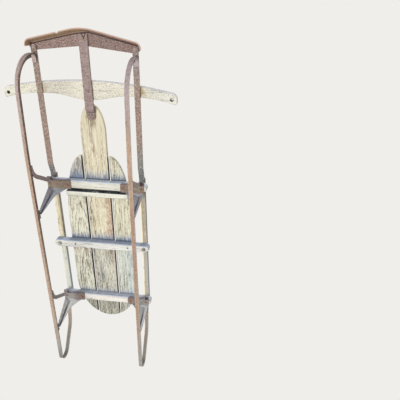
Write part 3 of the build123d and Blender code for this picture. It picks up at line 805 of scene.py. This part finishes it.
strapMarks = {
    "left": tone(146, 120, 104), "frontLeft": tone(122, 106, 94), "blue": tone(88, 102, 110),
    "right": tone(152, 122, 104), "frontRight": tone(126, 119, 119), "grey": tone(116, 132, 127),
    "blueRight": tone(84, 100, 102), "holeShade": tone(46, 38, 36), "holeAt": (0.1405, -0.4655),
    "frontFrom": (-0.36, -0.44), "frontLeftFrom": (-0.43, -0.46), "blueFrom": (-0.165, -0.13),
    "greyFrom": (-0.25, -0.17), "blueRightFrom": (-0.155, -0.13),
    "tab": tone(146, 126, 112), "tabFrom": (-0.311, -0.306), "fold": tone(96, 82, 76), "foldY": -0.3125,
    "vee": (0.002, -0.507), "gold": tone(156, 132, 92), "crack": tone(76, 52, 44),
    "ragged": ((60.0, 20.0, 60.0), 3.0, 73.0),
}


def sideStrapStains(steel):
    # bare and brown, darker at the bumper, blue-grey where it meets the front bench, greyer on the way
    # there at the right, and at the right one dark spot, painted shade for a shadowed hole
    left = steel.step(steel.x, *leftHalf)
    ragged = steel.noise(*strapMarks["ragged"]) - 0.5
    blueLeft = steel.step(steel.y + ragged * 0.04, *strapMarks["blueFrom"]) * left
    greyRight = steel.step(steel.y + ragged * 0.06, *strapMarks["greyFrom"]) * (1.0 - left)
    blueRight = steel.step(steel.y + ragged * 0.03, *strapMarks["blueRightFrom"]) * (1.0 - left)
    holeShade = steel.spot(strapMarks["holeAt"], 0.0034, 0.0012, (1.2, 1.0))
    front = steel.step(steel.y, *strapMarks["frontFrom"])
    return [
        (left * 0.7, strapMarks["left"]),
        ((1.0 - left) * front * 0.6, strapMarks["frontRight"]),
        (left * steel.step(steel.y, *strapMarks["frontLeftFrom"]) * 0.7, strapMarks["frontLeft"]),
        ((1.0 - left) * (1.0 - front) * 0.4, strapMarks["right"]),
        (blueLeft * 0.9, strapMarks["blue"]),
        (greyRight * 0.9, strapMarks["grey"]),
        (blueRight * 0.9, strapMarks["blueRight"]),
        # painted shade: a dark spot for a shadowed hole at the right
        (holeShade * 0.95, strapMarks["holeShade"]),
    ]


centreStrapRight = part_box("centre_strap")[1][0]


def centreStrapWear(steel):
    # a rusted V at its front end, painted shade along the right edge, a brown tab and a dark line at the fold before it
    across, along = abs(steel.x - strapMarks["vee"][0]), steel.y - strapMarks["vee"][1]
    arms = steel.step(abs(along + across * 2.2), 0.005, 0.002) * steel.step(across, 0.0095, 0.008)
    fold = steel.step(abs(steel.y - strapMarks["foldY"]), 0.0022, 0.0008)
    rightEdge = steel.step(steel.x, centreStrapRight - 0.0026, centreStrapRight - 0.0008)
    return [
        (steel.step(steel.y, *strapMarks["tabFrom"]) * 0.5, strapMarks["tab"]),
        # painted shade along the strap's right edge
        (rightEdge * 0.6, strapMarks["fold"]),
        (fold * 0.8, strapMarks["fold"]),
        (steel.spot(strapMarks["vee"], 0.003, 0.005, (1.2, 1.0)) * 0.45, strapMarks["gold"]),
        (arms * 0.9, strapMarks["crack"]),
    ]


bumperMarks = {
    "lip": tone(206, 168, 126), "lipRight": tone(174, 140, 122), "fold": tone(140, 114, 88), "rim": tone(214, 184, 166),
    "crease": tone(54, 36, 32), "chip": tone(250, 248, 244), "chipAt": (-0.0665, -0.0595),
    "frontY": -0.526, "sweep": 0.2315, "rounding": 0.0003, "rightFrom": (-0.01, 0.02), "innerFace": (-0.6, -0.1),
    "ragged": ((90.0, 90.0, 90.0), 3.0, 75.0),
}
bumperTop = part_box("bumper")[1][2]
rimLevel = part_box("bumper")[0][2]


def lipTone(steel, onRight):
    return steel.mix(onRight, bumperMarks["lip"], bumperMarks["lipRight"])


def bumperStains(steel):
    # the hanging lip is tan on its inner face, partly its own colour and partly a painted highlight
    lip = steel.step(steel.z, bumperTop - 0.0042, bumperTop - 0.0055)
    lip = lip * steel.step(steel.facing()[1], *bumperMarks["innerFace"])
    return [(lip * 0.92, lipTone(steel, steel.step(steel.x, *bumperMarks["rightFrom"])))]


def bumperWear(steel):
    # Bright rim, worn and with a painted highlight, with one chip, a calmer band above it, painted shade in
    # the crease between the lip and the plate and along the top of the lip's inner face on the right, and at
    # the left the fold's tan on the plate. The lip follows a blunt arrow: its front is at
    # frontY + sweep * sqrt(x^2 + rounding).
    facing = steel.facing()
    ragged = steel.noise(*bumperMarks["ragged"]) - 0.5
    onRight = steel.step(steel.x, *bumperMarks["rightFrom"])
    calm = steel.step(steel.z, rimLevel + 0.011, rimLevel + 0.005) * steel.step(facing[1], *bumperMarks["innerFace"])
    fromTip = (steel.x * steel.x + bumperMarks["rounding"]) ** 0.5 * bumperMarks["sweep"]
    behindLip = steel.y - bumperMarks["frontY"] - fromTip + ragged * 0.003
    underside = steel.step(facing[2], -0.4, -0.7) * steel.step(steel.z, bumperTop - 0.008, bumperTop - 0.004)
    # painted shade in the crease between lip and plate, and on the right along the top of the lip's inner face
    crease = underside * steel.band(behindLip + onRight * 0.003, 0.0022, 0.0048, 0.0008)
    lipCornerShade = steel.band(steel.z, bumperTop - 0.005, bumperTop - 0.0036, 0.0008)
    lipCornerShade = lipCornerShade * steel.step(facing[1], *bumperMarks["innerFace"])
    widened = underside * steel.step(behindLip, 0.003, 0.0018) * (1.0 - onRight)
    # the rim band: wear with a painted highlight on the rim's edge
    rim = steel.step(steel.z + ragged * 0.003, rimLevel + 0.0034, rimLevel + 0.0022)
    chip = steel.band(steel.x + ragged * 0.01, *bumperMarks["chipAt"], 0.0008)
    return [
        # the lip's tan band, partly a painted highlight
        (calm * 0.6, lipTone(steel, onRight)),
        (widened * 0.85, bumperMarks["fold"]),
        (rim * 0.85, bumperMarks["rim"]),
        (steel.either(crease, lipCornerShade * onRight) * 0.9, bumperMarks["crease"]),
        (chip * steel.step(steel.z, rimLevel + 0.008, rimLevel + 0.005) * 0.9, bumperMarks["chip"]),
    ]


def footStains(steel):
    # the pivot bolt's flush foot has the strap's colour
    return [(steel.step(steel.z, *boltLook["footFrom"]) * 0.9, strapLook["paint"])]


finishes = {
    "runner": steelFinish("runnerSteel", runnerLook, runnerStains),
    "knee": steelFinish("kneeSteel", kneeLook, kneeStains),
    "side_strap": steelFinish("sideStrapSteel", sideStrapLook, sideStrapStains),
    "centre_strap": steelFinish("centreStrapSteel", centreStrapLook, None, centreStrapWear),
    "bumper": steelFinish("bumperSteel", bumperLook, bumperStains, bumperWear),
    "pivot_bolt": steelFinish("pivotBoltSteel", boltLook, footStains),
    "crossing_bolts": steelFinish("crossingBoltSteel", boltLook | {"seed": 67.0}),
}
for name in nodes:
    for start, material in finishes.items():
        if name.startswith(start):
            dress(name, material)
print("steel finished")


def studs(name, spots, facing, look, material, body="frame"):
    # Rivet and nail heads, all in one mesh. A head is a profile turned about its axis: at angle a and
    # step t, radius r(t) and height h(t) give centre + r (cos a, sin a) + h along the facing.
    turns = look["turns"]
    profile = np.array(look["profile"]) * (look["radius"], look["height"])
    angles = np.linspace(0, 2 * np.pi, turns, endpoint=False)
    outward = np.array(facing, dtype=float)
    side = np.array([0.0, 0.0, 1.0]) if abs(outward[2]) < 0.5 else np.array([1.0, 0.0, 0.0])
    other = np.cross(outward, side)
    ring = np.cos(angles)[:, None] * side + np.sin(angles)[:, None] * other
    rows = profile[:, 0, None, None] * ring + profile[:, 1, None, None] * outward
    head = np.vstack([rows.reshape(-1, 3), outward * profile[-1, 1], outward * profile[0, 1]])
    t, a = np.meshgrid(np.arange(len(profile) - 1), np.arange(turns), indexing="ij")
    after = (a + 1) % turns
    walls = np.stack([t * turns + a, t * turns + after, (t + 1) * turns + after, (t + 1) * turns + a], axis=-1)
    lastRow = (len(profile) - 1) * turns + np.arange(turns)
    top = np.stack([lastRow, np.roll(lastRow, -1), np.full(turns, len(rows) * turns)], axis=-1)
    firstRow = np.arange(turns)
    bottom = np.stack([np.roll(firstRow, -1), firstRow, np.full(turns, len(rows) * turns + 1)], axis=-1)
    centres = np.array(spots, dtype=float)
    vertices = (centres[:, None, :] + head).reshape(-1, 3)
    starts = np.arange(len(centres)) * len(head)
    parts = (walls.reshape(-1, 4), top, bottom)
    faces = [face for start in starts for part in parts for face in (part + start).tolist()]
    mesh = bpy.data.meshes.new(name)
    mesh.from_pydata(vertices.tolist(), [], faces)
    mesh.polygons.foreach_set("use_smooth", [True] * len(faces))
    mesh.materials.append(material)
    piece = bpy.data.objects.new(name, mesh)
    bpy.context.scene.collection.objects.link(piece)
    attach(piece, body)


# Rivets and nails: round heads, set where one part is fastened to the next. A profile is steps of
# radius and height, as shares of the look's own.
dome = ((1.0, -0.1), (1.0, 0.15), (0.94, 0.45), (0.78, 0.75), (0.5, 0.94), (0.2, 1.0))
washer = ((1.0, -0.1), (1.0, 0.3), (0.95, 0.42), (0.62, 0.45), (0.56, 0.85), (0.4, 1.0), (0.15, 1.0))
studLooks = {
    "rivet": {"radius": 0.0045, "height": 0.0012, "turns": 20, "profile": dome},
    "nail": {"radius": 0.0030, "height": 0.0009, "turns": 16, "profile": dome},
    "eye": {"radius": 0.0066, "height": 0.0018, "turns": 24, "profile": washer},
    "washer": {"radius": 0.0085, "height": 0.0016, "turns": 28, "profile": washer},
}
studPaints = {
    "saddle": {"seed": 68.0, "paint": tone(132, 102, 86), "paintTwo": tone(142, 112, 94)},
    "nail": {"seed": 69.0, "paint": tone(92, 80, 72), "paintTwo": tone(112, 92, 78)},
    "strap": {"seed": 70.0},
    "nose": {"seed": 71.0, "paint": tone(150, 130, 116), "paintTwo": tone(138, 120, 106), "spark": tone(206, 200, 194)},
    "eye": {"seed": 72.0, "paint": tone(168, 166, 152), "paintTwo": tone(150, 148, 134), "rust": tone(116, 96, 80)},
}
studPlaces = {
    "eye": 0.138, "benchNail": 0.086, "railNail": 0.137, "boardNails": (-0.09, -0.056, -0.02, 0.02, 0.056, 0.09),
    "nose": (0.0, -0.3005), "noseUnder": 0.127,
    "bumper": ((-0.137, -0.480), (0.137, -0.480), (0.0, -0.500)), "bumperUnder": 0.121, "bumperOver": 0.127,
}


def noseWear(steel):
    # a dark bent tongue at the washer's front, with a painted glint in it
    dark = steel.spot((-0.002, studPlaces["nose"][1] - 0.0065), 0.0022, 0.0024, (2.0, 1.0))
    paintedGlint = steel.spot((-0.001, studPlaces["nose"][1] - 0.0062), 0.0008, 0.0011)
    return [(dark * 0.8, strapMarks["fold"]), (paintedGlint * 0.8, studPaints["nose"]["spark"])]


studSteels = {
    "saddle": steelFinish("saddleRivetSteel", boltLook | studPaints["saddle"]),
    "strap": steelFinish("strapRivetSteel", strapLook | studPaints["strap"]),
    "nail": steelFinish("nailSteel", boltLook | studPaints["nail"]),
    "nose": steelFinish("noseWasherSteel", strapLook | studPaints["nose"], None, noseWear),
    "eye": steelFinish("eyeSteel", boltLook | studPaints["eye"]),
}
up, down = (0, 0, 1), (0, 0, -1)
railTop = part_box("side_rail_left")[1][2]
cleatMiddle = (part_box("cleat")[0][1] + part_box("cleat")[1][1]) / 2
middle = benchMiddles["middle"]
saddleSpots = [
    (s * x, benchMiddles[bench], kneeMarks["rivetHeight"])
    for s in sides for x in kneeMarks["rivets"] for bench in ("front", "rear")
]
eyeSpots = [(s * studPlaces["eye"], middle, benchBottom) for s in sides]
benchSpots = [(s * studPlaces["benchNail"], middle, benchBottom) for s in sides]
nailSpots = [(x, y, boardTop) for y in (*benchMiddles.values(), cleatMiddle) for x in studPlaces["boardNails"]]
railSpots = [(s * studPlaces["railNail"], y, railTop) for s in sides for y in benchMiddles.values()]
bumperSpots = [(x, y, studPlaces["bumperUnder"]) for x, y in studPlaces["bumper"]]
bumperTopSpots = [(x, y, studPlaces["bumperOver"]) for x, y in studPlaces["bumper"]]
studs("saddleRivets", saddleSpots, down, studLooks["rivet"], studSteels["saddle"])
studs("benchEyes", eyeSpots, down, studLooks["eye"], studSteels["eye"])
studs("benchNails", benchSpots, down, studLooks["nail"], studSteels["nail"])
studs("boardNails", nailSpots, up, studLooks["nail"], studSteels["nail"])
studs("railNails", railSpots, up, studLooks["rivet"], studSteels["nail"])
studs("noseWasher", [(*studPlaces["nose"], studPlaces["noseUnder"])], down, studLooks["washer"], studSteels["nose"])
studs("noseRivetTop", [(*studPlaces["nose"], boardTop)], up, studLooks["rivet"], studSteels["nail"])
studs("bumperRivets", bumperSpots, down, studLooks["rivet"], studSteels["strap"])
studs("bumperRivetTops", bumperTopSpots, up, studLooks["rivet"], studSteels["strap"])
print("rivets and nails set")
